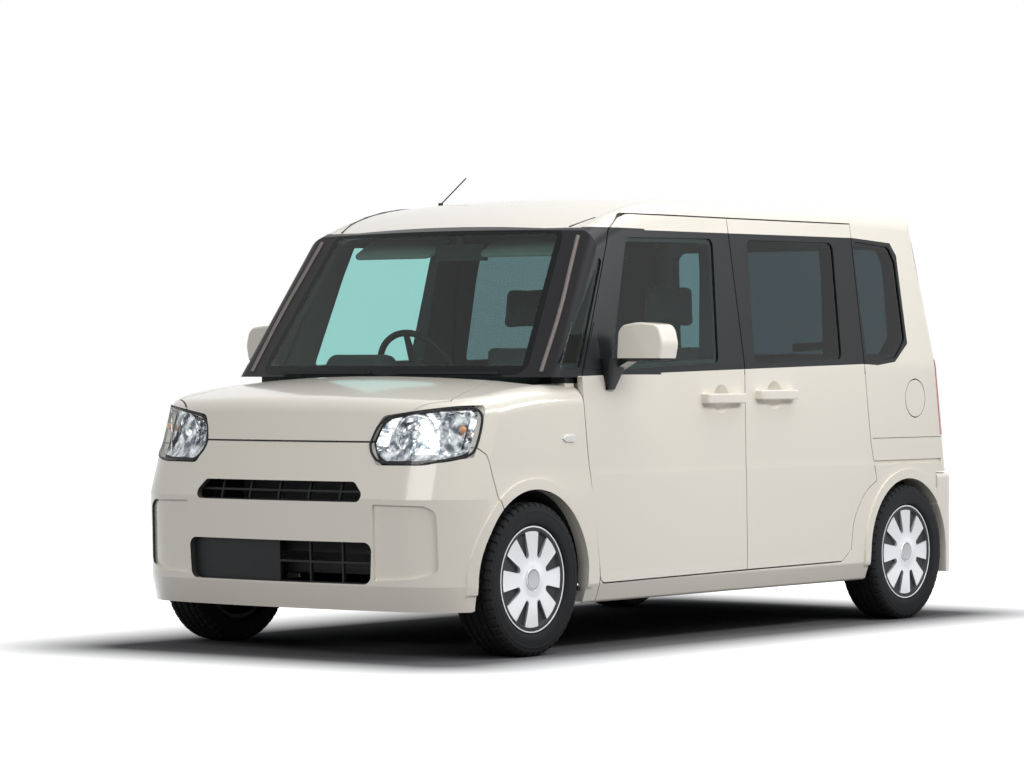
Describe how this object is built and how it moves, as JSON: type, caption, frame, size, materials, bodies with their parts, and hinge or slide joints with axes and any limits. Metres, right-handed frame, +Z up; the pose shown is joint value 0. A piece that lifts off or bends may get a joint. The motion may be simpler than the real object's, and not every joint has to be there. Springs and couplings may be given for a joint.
{
  "type": "kei car",
  "caption": "Small tall five-door wagon with hinged front doors, sliding rear doors, lift-up tailgate and bonnet, steered front wheels and a furnished cabin.",
  "frame": {"origin": "on the floor under the middle of the car's length and width", "axes": "+X forward along the car, +Y to the car's left, +Z up"},
  "size_m": [3.3945, 1.889, 1.7083],
  "materials": {
    "paint": "gloss",
    "bumper_paint": "gloss",
    "front_glass": "clear",
    "privacy_glass": "dark tint",
    "black_trim": "matte",
    "underbody": "matte",
    "lamp_housing": "bright",
    "lens": "clear",
    "tail_red": "gloss",
    "interior": "satin",
    "seat_cloth": "woven",
    "cast_metal": "cast",
    "chassis_steel": "satin",
    "tyre": "matte",
    "wheel_silver": "silver"
  },
  "bodies": {
    "car_body": {"antenna": "black_trim", "body_side_left": "paint", "body_side_right": "paint", "bulkhead": "underbody", "corner_glasses": "front_glass", "dashboard": "interior", "engine": "cast_metal", "exhaust": "chassis_steel", "floor_pan": "underbody", "front_bumper": "bumper_paint", "front_fender_left": "paint", "front_fender_right": "paint", "front_seats": "seat_cloth", "front_structure": "underbody", "front_suspension": "chassis_steel", "fuel_tank": "chassis_steel", "grille": "black_trim", "headlamp_lenses": "lens", "headlamps": "lamp_housing", "inner_mirror": "interior", "privacy_glasses": "privacy_glass", "rear_axle": "chassis_steel", "rear_bumper": "bumper_paint", "rear_seat": "seat_cloth", "roof_panel": "paint", "side_trims": "black_trim", "slide_door_left": "paint", "slide_door_right": "paint", "slide_handles": "paint", "steering_column": "interior", "tail_lamps": "tail_red", "windscreen": "front_glass", "wipers": "black_trim"},
    "front_door_left": {"door_left": "paint", "door_sash_left": "black_trim", "door_glass_left": "front_glass", "handle_left": "paint", "mirror_left": "paint"},
    "front_door_right": {"door_right": "paint", "door_sash_right": "black_trim", "door_glass_right": "front_glass", "handle_right": "paint", "mirror_right": "paint"},
    "bonnet": {"bonnet": "paint"},
    "tailgate": {"tailgate": "paint", "tailgate_glass": "privacy_glass", "rear_wiper": "black_trim"},
    "fuel_lid": {"fuel_lid": "paint"},
    "steering_wheel": {"steering_wheel": "interior"},
    "knuckle_left": {"knuckle_left": "cast_metal"},
    "knuckle_right": {"knuckle_right": "cast_metal"},
    "wheel_front_left": {"wheel_front_left": "wheel_silver", "tyre_front_left": "tyre"},
    "wheel_front_right": {"wheel_front_right": "wheel_silver", "tyre_front_right": "tyre"},
    "wheel_rear_left": {"wheel_rear_left": "wheel_silver", "tyre_rear_left": "tyre"},
    "wheel_rear_right": {"wheel_rear_right": "wheel_silver", "tyre_rear_right": "tyre"}
  },
  "joints": [
    {"name": "front_door_left_hinge", "type": "hinge", "parent": "car_body", "child": "front_door_left", "pos_m": [0.903, 0.737, 0.6], "axis": [0, 0, -1], "range_deg": [0, 70]},
    {"name": "front_door_right_hinge", "type": "hinge", "parent": "car_body", "child": "front_door_right", "pos_m": [0.903, -0.737, 0.6], "axis": [0, 0, 1], "range_deg": [0, 70]},
    {"name": "bonnet_hinge", "type": "hinge", "parent": "car_body", "child": "bonnet", "pos_m": [1.08, 0, 0.956], "axis": [0, -1, 0], "range_deg": [0, 50]},
    {"name": "tailgate_hinge", "type": "hinge", "parent": "car_body", "child": "tailgate", "pos_m": [-1.4375, 0, 1.607], "axis": [0, 1, 0], "range_deg": [0, 80]},
    {"name": "fuel_lid_hinge", "type": "hinge", "parent": "car_body", "child": "fuel_lid", "pos_m": [-1.26, 0.7205, 0.861], "axis": [0, 0, -1], "range_deg": [0, 90]},
    {"name": "steering_wheel_turn", "type": "hinge", "parent": "car_body", "child": "steering_wheel", "pos_m": [0.47, -0.345, 0.955], "axis": [-0.9135, 0, 0.4067], "range_deg": [-595, 595]},
    {"name": "steer_left", "type": "hinge", "parent": "car_body", "child": "knuckle_left", "pos_m": [1.19, 0.59, 0.262], "axis": [0, 0, 1], "range_deg": [-35, 35]},
    {"name": "steer_right", "type": "hinge", "parent": "car_body", "child": "knuckle_right", "pos_m": [1.19, -0.59, 0.262], "axis": [0, 0, 1], "range_deg": [-35, 35]},
    {"name": "spin_front_left", "type": "hinge", "parent": "knuckle_left", "child": "wheel_front_left", "pos_m": [1.19, 0.65, 0.262], "axis": [0, 1, 0], "continuous": true},
    {"name": "spin_front_right", "type": "hinge", "parent": "knuckle_right", "child": "wheel_front_right", "pos_m": [1.19, -0.65, 0.262], "axis": [0, 1, 0], "continuous": true},
    {"name": "spin_rear_left", "type": "hinge", "parent": "car_body", "child": "wheel_rear_left", "pos_m": [-1.265, 0.65, 0.262], "axis": [0, 1, 0], "continuous": true},
    {"name": "spin_rear_right", "type": "hinge", "parent": "car_body", "child": "wheel_rear_right", "pos_m": [-1.265, -0.65, 0.262], "axis": [0, 1, 0], "continuous": true}
  ],
  "couplings": [
    {"joint": "steer_right", "follows": "steer_left", "ratio": 1},
    {"joint": "steering_wheel_turn", "follows": "steer_left", "ratio": 17}
  ]
}
